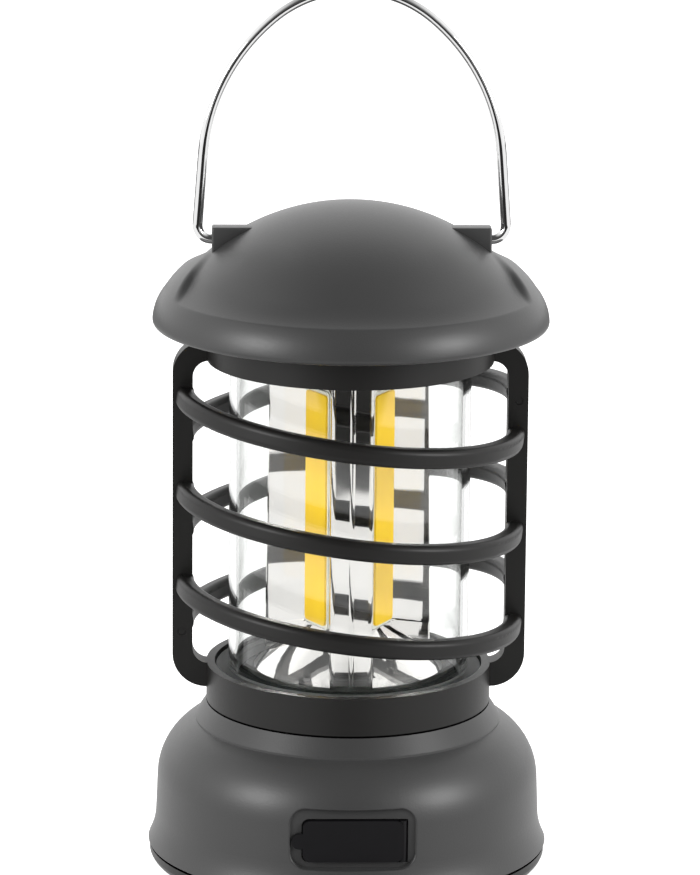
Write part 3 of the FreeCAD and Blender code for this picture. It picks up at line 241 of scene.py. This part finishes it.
def clear_polycarbonate():
    """Clear moulded polycarbonate: a faint grey, polished on the tube and satin on its flange.

    Shadow rays go straight through it, so that the lamps light what stands inside.
    """
    made, tree, out, coords = new_material("clear_polycarbonate")
    flow = add(tree, "ShaderNodeTexNoise", {
        "Vector": coords, "Scale": per_metre(25), "Detail": 1.0})
    bump = add(tree, "ShaderNodeBump", {
        "Height": flow.outputs["Fac"], "Strength": 0.03, "Distance": 0.2 * MM})
    height = add(tree, "ShaderNodeSeparateXYZ", {0: coords}).outputs["Z"]
    satin = add(tree, "ShaderNodeMapRange", {
        "Value": height, "From Min": FLANGE_TOP, "From Max": FLANGE_TOP + SATIN_FADE,
        "To Min": 0.6, "To Max": 0.0})
    shader = add(tree, "ShaderNodeBsdfPrincipled", {
        "Base Color": linear("#f3f4f3"), "Roughness": satin.outputs[0], "IOR": 1.5,
        "Transmission Weight": 1.0, "Normal": bump.outputs[0]})
    path = add(tree, "ShaderNodeLightPath")
    clear = add(tree, "ShaderNodeBsdfTransparent", {"Color": linear("#f4f8f6")})
    mix = add(tree, "ShaderNodeMixShader", {
        0: path.outputs["Is Shadow Ray"], 1: shader.outputs[0], 2: clear.outputs[0]})
    tree.links.new(mix.outputs[0], out.inputs[0])
    return made


def phosphor():
    """Yellow phosphor silicone over the emitters: soft, a little uneven."""
    made, tree, out, coords = new_material("phosphor")
    cloud = add(tree, "ShaderNodeTexNoise", {
        "Vector": coords, "Scale": per_metre(4), "Detail": 3.0})
    colour = add(tree, "ShaderNodeMix", {
        SHARE: cloud.outputs["Fac"], COLOUR_A: linear("#f1c012"), COLOUR_B: linear("#f6cb2a")},
        data_type="RGBA")
    shader = add(tree, "ShaderNodeBsdfPrincipled", {
        "Base Color": colour.outputs[COLOUR_OUT], "Roughness": 0.45, "IOR": 1.41})
    tree.links.new(shader.outputs[0], out.inputs[0])
    return made


def zinc_steel():
    """Bright zinc plate on pressed steel: grey metal with a faint cloud."""
    made, tree, out, coords = new_material("zinc_steel")
    cloud = add(tree, "ShaderNodeTexNoise", {
        "Vector": coords, "Scale": per_metre(2), "Detail": 4.0})
    rough = add(tree, "ShaderNodeMapRange", {
        "Value": cloud.outputs["Fac"], "To Min": 0.25, "To Max": 0.45})
    shader = add(tree, "ShaderNodeBsdfPrincipled", {
        "Base Color": linear("#b9bbbd"), "Metallic": 1.0, "Roughness": rough.outputs[0]})
    tree.links.new(shader.outputs[0], out.inputs[0])
    return made


def solder_mask(name, dark, light):
    """Solder mask on glass-fibre board: a glossy lacquer over the weave, 0.5 mm to a thread."""
    made, tree, out, coords = new_material(name)
    weave = add(tree, "ShaderNodeTexChecker", {
        "Vector": coords, "Scale": per_metre(0.5),
        "Color1": linear(dark), "Color2": linear(light)})
    shader = add(tree, "ShaderNodeBsdfPrincipled", {
        "Base Color": weave.outputs["Color"], "Roughness": 0.3, "IOR": 1.5})
    tree.links.new(shader.outputs[0], out.inputs[0])
    return made


def shrink_wrap():
    """PVC shrink sleeve on the cell: thin, glossy and a little wrinkled."""
    made, tree, out, coords = new_material("shrink_wrap")
    wrinkle = add(tree, "ShaderNodeTexNoise", {
        "Vector": coords, "Scale": per_metre(6), "Detail": 2.0})
    bump = add(tree, "ShaderNodeBump", {
        "Height": wrinkle.outputs["Fac"], "Strength": 0.2, "Distance": 0.2 * MM})
    shader = add(tree, "ShaderNodeBsdfPrincipled", {
        "Base Color": linear("#3d6fa3"), "Roughness": 0.3, "IOR": 1.53,
        "Normal": bump.outputs[0]})
    tree.links.new(shader.outputs[0], out.inputs[0])
    return made


FINISHES = {
    soft_touch_abs(): ["roof", "base_shell"],
    black_abs(): ["front_cage", "rear_cage", "bottom_cover", "tact_switch"],
    matt_black_abs(): ["light_deck", "ceiling"],
    black_rubber(): ["port_flap", "foot_ring", "lens_seal", "cap_seal", "power_button"],
    chromed_steel(): ["bail"],
    plated_reflector(): ["reflector"],
    clear_polycarbonate(): ["lens"],
    phosphor(): ["led_strip_1", "led_strip_2", "led_strip_3"],
    zinc_steel(): [
        "usb_a_socket", "usb_c_socket", "board_screws", "switch_screws", "cover_screws",
        "deck_screws", "reflector_screws", "roof_screws"],
    solder_mask("white_solder_mask", "#dedfd8", "#e6e7e0"): [
        "led_board_1", "led_board_2", "led_board_3"],
    solder_mask("green_solder_mask", "#155c37", "#17663d"): ["main_board", "switch_board"],
    shrink_wrap(): ["battery_cell"],
}
for finish, names in FINISHES.items():
    for name in names:
        nodes[name].data.materials.clear()
        nodes[name].data.materials.append(finish)


# Roof and cover rim: sizes in millimetres, points as (out from the axis, up from a foot)

RIM_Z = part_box("roof")[0][2]

# A section's steps: where each ends, its arc's radius (None if straight) and its number of points.
ROOF_INSIDE = [
    ((46.8, 0), None, 1),         # the rim's foot
    ((46.8, 1.4), None, 1),       # the rim
    ((37.8, 12.06), -43, 8),      # the flare
    ((0, 28), 52.8, 16),          # the dome
]
ROOF_OUTSIDE = [
    ((47.8, 0), None, 1),         # the rim's foot
    ((49, 1.2), 1.2, 5),          # the rim's rounded lower edge
    ((49, 1.4), None, 1),         # the rim
    ((46.2, 8.4), 12.3, 20),      # the round over the rim, up to the crease
    ((40, 12.95), -21.3, 24),     # the flare
    ((0, 30.2), 55, 44),          # the dome
]
# The cover rim's section, closed on itself.
COVER_EDGE = [(47.0, -1.9), (49.62, -1.9), (49.65, -0.35), (47.0, -0.35), (47.0, -1.9)]

SHOULDER_PEAK = (33.5, 18.9)      # where the shoulder comes out of the dome
SHOULDER_BEND = (38.9, 15.6)      # where its straight back begins to turn down
SHOULDER_FOOT = (46.35, 8.1)      # where it runs into the crease
SHOULDER_ROUND = 22.2             # radius of its turn down
SHOULDER_FAN = 1.6                # how far its walls spread on each millimetre outward
SHOULDER_SOFT = 1.6               # half the width over which its walls rise

EAR_SIZE = (10.9, 5, 7.2)
EAR_OUT, EAR_UP = 28.95, 20.8     # the middle of an ear
EAR_SLANT = 5.8                   # rise of its underside towards the axis
EAR_ROUND, EAR_ROUND_STEPS = 0.5, 3

DOME_SEGMENTS = 400
COVER_SEGMENTS = 240
TOUCHING = 0.002                  # points nearer than this are merged
SMOOTH_ANGLE = math.radians(32)


def arc_centre(start, end, radius):
    """The centre of the short arc from start to end; a positive radius makes it turn left."""
    start, end = Vector(start), Vector(end)
    chord = end - start
    across = Vector((-chord.y, chord.x)).normalized() * math.copysign(1, radius)
    return (start + end) / 2 + across * math.sqrt(radius ** 2 - chord.length_squared / 4)


def arc_points(start, end, radius, count):
    """Points after start on the short arc to end."""
    centre = arc_centre(start, end, radius)
    first, last = [math.atan2(up - centre.y, out - centre.x) for out, up in (start, end)]
    turn = (last - first + math.pi) % (2 * math.pi) - math.pi
    angles = [first + turn * step / count for step in range(1, count + 1)]
    return [(centre.x + abs(radius) * math.cos(angle), centre.y + abs(radius) * math.sin(angle))
            for angle in angles]


def section(steps):
    """The points of a section, drawn step by step from the first one's end."""
    points = []
    for end, radius, count in steps:
        points += arc_points(points[-1], end, radius, count) if radius else [end]
    return points


def start_piece(name, maker, **settings):
    """Add a primitive with nothing else selected, named, in edit mode and wholly selected."""
    bpy.ops.object.select_all(action="DESELECT")
    maker(**settings)
    bpy.context.object.name = name
    bpy.ops.object.mode_set(mode="EDIT")
    bpy.ops.mesh.select_all(action="SELECT")
    return bpy.context.object


def spun(name, profile, foot, segments):
    """A profile above the foot's height, drawn by extruding one point and spun round the axis."""
    piece = start_piece(name, bpy.ops.mesh.primitive_plane_add, size=MM)
    bpy.ops.mesh.merge(type="CENTER")
    here = Vector()
    for step, (out, up) in enumerate(profile):
        there = Vector((out * MM, 0, foot + up * MM))
        if step:
            bpy.ops.mesh.extrude_vertices_move(TRANSFORM_OT_translate={"value": there - here})
        else:
            bpy.ops.transform.translate(value=there)
        here = there
    bpy.ops.mesh.select_all(action="SELECT")
    bpy.ops.mesh.spin(steps=segments, angle=2 * math.pi, center=(0, 0, 0), axis=(0, 0, 1))
    bpy.ops.mesh.select_all(action="SELECT")
    bpy.ops.mesh.remove_doubles(threshold=TOUCHING * MM)
    bpy.ops.mesh.normals_make_consistent(inside=False)
    bpy.ops.object.mode_set(mode="OBJECT")
    return piece


def smooth_step(value, low, high):
    """0 below low, 1 above high, and a soft rise between them."""
    share = min(max((value - low) / (high - low), 0), 1)
    return share * share * (3 - 2 * share)


def shoulder_height(radius):
    """The raised shoulder's height above the rim's foot at a radius."""
    (peak, top), (bend, high) = SHOULDER_PEAK, SHOULDER_BEND
    if radius < bend:
        return top + (high - top) * (radius - peak) / (bend - peak)
    centre = arc_centre(SHOULDER_FOOT, SHOULDER_BEND, SHOULDER_ROUND)
    return centre.y + math.sqrt(SHOULDER_ROUND ** 2 - (radius - centre.x) ** 2)


def raise_shoulders(dome):
    """Lift a soft-walled wedge of the dome's outer face at each side, as a thumb pushes clay."""
    wall_length = math.hypot(1, SHOULDER_FAN)
    for vertex in dome.data.vertices:
        x, y = abs(vertex.co.x) / MM, abs(vertex.co.y) / MM
        radius = math.hypot(x, y)
        inside = (SHOULDER_FAN * (x - SHOULDER_PEAK[0]) - y) / wall_length
        if vertex.normal.z > 0 and radius < SHOULDER_FOOT[0] and inside > -SHOULDER_SOFT:
            lift = max(shoulder_height(radius) - (vertex.co.z - RIM_Z) / MM, 0)
            vertex.co.z += lift * smooth_step(inside, -SHOULDER_SOFT, SHOULDER_SOFT) * MM


def make_ear(side):
    """One of the bail's ears: a block whose underside slants to end inside the dome's wall."""
    ear = start_piece(
        "ear", bpy.ops.mesh.primitive_cube_add, size=1, scale=[size * MM for size in EAR_SIZE],
        location=(side * EAR_OUT * MM, 0, RIM_Z + EAR_UP * MM))
    bpy.ops.object.mode_set(mode="OBJECT")
    bpy.ops.object.transform_apply(location=True, rotation=True, scale=True)
    for vertex in ear.data.vertices:
        if abs(vertex.co.x) < EAR_OUT * MM and vertex.co.z < RIM_Z + EAR_UP * MM:
            vertex.co.z += EAR_SLANT * MM
    rounding = ear.modifiers.new("edges", "BEVEL")
    rounding.width = EAR_ROUND * MM
    rounding.segments = EAR_ROUND_STEPS
    bpy.ops.object.modifier_apply(modifier=rounding.name)
    return ear


def make_roof():
    """The roof: a spun dome with its shoulders raised, joined with the two ears."""
    profile = section(ROOF_INSIDE)[::-1] + section(ROOF_OUTSIDE)
    dome = spun("roof_shell", profile, RIM_Z, DOME_SEGMENTS)
    raise_shoulders(dome)
    ears = [make_ear(side) for side in (-1, 1)]
    bpy.ops.object.select_all(action="DESELECT")
    for piece in [*ears, dome]:
        piece.select_set(True)
    bpy.context.view_layer.objects.active = dome
    bpy.ops.object.join()
    bpy.ops.object.shade_smooth_by_angle(angle=SMOOTH_ANGLE)
    dome.data.materials.append(nodes["roof"].data.materials[0])
    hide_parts("roof")
    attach(dome, "lantern")


def make_cover_rim():
    """The bottom cover's rim, which closes the two gaps where the cell's bed runs out of it."""
    rim = spun("cover_rim", COVER_EDGE, SHELL_FOOT, COVER_SEGMENTS)
    bpy.ops.object.shade_smooth_by_angle(angle=SMOOTH_ANGLE)
    rim.data.materials.append(nodes["bottom_cover"].data.materials[0])
    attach(rim, "lantern")


make_roof()
make_cover_rim()


# Studio, with all sizes in metres

FLOOR_RADIUS, FLOOR_CORNERS = 3.0, 96
ROOM_DIM = 0.085                  # the room's light in front and overhead

BOX_X, BOX_Y, BOX_Z = 0.79, -0.49, 0.42
BOX_SIZE = 0.36
BOX_WATTS = 5
BOX_AIM = (0, 0, 0.11)

CAMERA_DISTANCE = 1.300
CAMERA_PITCH = math.radians(13.5)
CAMERA_AZIMUTH = math.radians(-2.0)
CAMERA_ROLL = math.radians(0.5)
CAMERA_AIM = (0, 0, 109.0 * MM)
SENSOR_MM, LENS_MM = 36.0, 215.6


def straight_view(tree):
    """1 where the camera sees the backdrop straight or through the lens, 0 for every other ray."""
    path = add(tree, "ShaderNodeLightPath")
    seen = add(tree, "ShaderNodeMath", {
        0: path.outputs["Is Camera Ray"], 1: path.outputs["Is Transmission Ray"]},
        operation="MAXIMUM")
    unmirrored = add(tree, "ShaderNodeMath", {
        0: path.outputs["Glossy Depth"], 1: 0.5}, operation="LESS_THAN")
    return add(tree, "ShaderNodeMath", {
        0: seen.outputs[0], 1: unmirrored.outputs[0]}, operation="MULTIPLY").outputs[0]


def white_paper():
    """Matt white paper, which keeps the lantern's shadow.

    Mirrored rays find it bright at the sides, dark in an aisle in front and dim far behind, with
    an oval of shade under the lantern, so that chrome and plating keep their edges.
    """
    made, tree, out, coords = new_material("white_paper")
    paper = add(tree, "ShaderNodeBsdfDiffuse", {"Color": linear("#f2f2f2")})
    glow = add(tree, "ShaderNodeEmission", {"Color": linear("#ffffff"), "Strength": 0.75})
    both = add(tree, "ShaderNodeAddShader", {0: paper.outputs[0], 1: glow.outputs[0]})
    place = add(tree, "ShaderNodeSeparateXYZ", {0: coords})
    front = add(tree, "ShaderNodeMapRange", {
        "Value": place.outputs["Y"], "From Min": -0.5, "From Max": -0.46,
        "To Min": 1.0, "To Max": 0.0}, interpolation_type="SMOOTHSTEP")
    sideways = add(tree, "ShaderNodeMath", {0: place.outputs["X"]}, operation="ABSOLUTE")
    middle = add(tree, "ShaderNodeMapRange", {
        "Value": sideways.outputs[0], "From Min": 0.42, "From Max": 0.55,
        "To Min": 1.0, "To Max": 0.0}, interpolation_type="SMOOTHSTEP")
    aisle = add(tree, "ShaderNodeMath", {
        0: front.outputs[0], 1: middle.outputs[0]}, operation="MULTIPLY")
    back = add(tree, "ShaderNodeMapRange", {
        "Value": place.outputs["Y"], "From Min": 0.5, "From Max": 0.7,
        "To Min": 0.0, "To Max": 0.85}, interpolation_type="SMOOTHSTEP")
    dim = add(tree, "ShaderNodeMath", {
        0: aisle.outputs[0], 1: back.outputs[0]}, operation="MAXIMUM")
    sweep = add(tree, "ShaderNodeMapRange", {
        "Value": dim.outputs[0], "To Min": 1.2, "To Max": 0.03})
    oval = add(tree, "ShaderNodeMapping", {
        "Vector": coords, "Location": (0, 0.09, 0), "Scale": (2.2, 0.6, 0)})
    away = add(tree, "ShaderNodeVectorMath", {0: oval.outputs[0]}, operation="LENGTH")
    shadow = add(tree, "ShaderNodeMapRange", {
        "Value": away.outputs["Value"], "From Min": 0.05, "From Max": 0.12,
        "To Min": 0.45, "To Max": 1.0}, interpolation_type="SMOOTHSTEP")
    shaded = add(tree, "ShaderNodeMath", {
        0: sweep.outputs[0], 1: shadow.outputs[0]}, operation="MULTIPLY")
    path = add(tree, "ShaderNodeLightPath")
    bounce = add(tree, "ShaderNodeMix", {
        SHARE: path.outputs["Is Diffuse Ray"], NUMBER_A: shaded.outputs[0], NUMBER_B: 0.06})
    mirrored = add(tree, "ShaderNodeEmission", {
        "Color": linear("#ffffff"), "Strength": bounce.outputs[NUMBER_OUT]})
    mix = add(tree, "ShaderNodeMixShader", {
        0: straight_view(tree), 1: mirrored.outputs[0], 2: both.outputs[0]})
    tree.links.new(mix.outputs[0], out.inputs[0])
    return made


def make_floor():
    """A wide round sheet of paper under the lantern."""
    bpy.ops.mesh.primitive_circle_add(
        vertices=FLOOR_CORNERS, radius=FLOOR_RADIUS, fill_type="NGON", location=(0, 0, 0))
    floor = bpy.context.object
    floor.name = "floor"
    floor.data.materials.append(white_paper())


def make_world():
    """A dim room with bright side and back walls, and plain white straight to the camera."""
    world = bpy.data.worlds.new("studio")
    bpy.context.scene.world = world
    world.use_nodes = True
    tree = world.node_tree
    tree.nodes.clear()
    out = tree.nodes.new("ShaderNodeOutputWorld")
    direction = add(tree, "ShaderNodeTexCoord").outputs["Generated"]
    facing = add(tree, "ShaderNodeSeparateXYZ", {0: direction})
    sideways = add(tree, "ShaderNodeMath", {0: facing.outputs["X"]}, operation="ABSOLUTE")
    sides = add(tree, "ShaderNodeMapRange", {
        "Value": sideways.outputs[0], "From Min": 0.2, "From Max": 0.85,
        "To Min": ROOM_DIM, "To Max": 1.3}, interpolation_type="SMOOTHSTEP")
    back = add(tree, "ShaderNodeMapRange", {
        "Value": facing.outputs["Y"], "From Min": 0.1, "From Max": 0.75,
        "To Min": ROOM_DIM, "To Max": 1.6}, interpolation_type="SMOOTHSTEP")
    walls = add(tree, "ShaderNodeMath", {
        0: sides.outputs[0], 1: back.outputs[0]}, operation="MAXIMUM")
    room = add(tree, "ShaderNodeBackground", {
        "Color": linear("#ffffff"), "Strength": walls.outputs[0]})
    white = add(tree, "ShaderNodeBackground", {"Color": linear("#ffffff"), "Strength": 1.0})
    mix = add(tree, "ShaderNodeMixShader", {
        0: straight_view(tree), 1: room.outputs[0], 2: white.outputs[0]})
    tree.links.new(mix.outputs[0], out.inputs[0])


def softbox(name, place):
    """A square soft lamp aimed at the lantern's middle, unseen by the camera."""
    light = bpy.data.lights.new(name, "AREA")
    light.shape = "SQUARE"
    light.size = BOX_SIZE
    light.energy = BOX_WATTS
    lamp = bpy.data.objects.new(name, light)
    bpy.context.scene.collection.objects.link(lamp)
    lamp.location = place
    lamp.rotation_euler = (Vector(BOX_AIM) - Vector(place)).to_track_quat("-Z", "Y").to_euler()
    lamp.visible_camera = False


def make_camera():
    """The photograph's view: a long lens that looks a little down on the lantern's axis."""
    level = math.cos(CAMERA_PITCH)
    back = Vector((math.sin(CAMERA_AZIMUTH) * level, -math.cos(CAMERA_AZIMUTH) * level,
                   math.sin(CAMERA_PITCH)))  # from the lantern to the camera
    data = bpy.data.cameras.new("camera")
    data.sensor_fit = "AUTO"
    data.sensor_width = SENSOR_MM
    data.lens = LENS_MM
    camera = bpy.data.objects.new("camera", data)
    bpy.context.scene.collection.objects.link(camera)
    place = Matrix.Translation(Vector(CAMERA_AIM) + back * CAMERA_DISTANCE)
    turn = (-back).to_track_quat("-Z", "Y").to_matrix().to_4x4()
    camera.matrix_world = place @ turn @ Matrix.Rotation(CAMERA_ROLL, 4, "Z")
    bpy.context.scene.camera = camera


make_floor()
make_world()
softbox("left_box", (-BOX_X, BOX_Y, BOX_Z))
softbox("right_box", (BOX_X, BOX_Y, BOX_Z))
make_camera()
bpy.context.scene.view_settings.view_transform = "Standard"
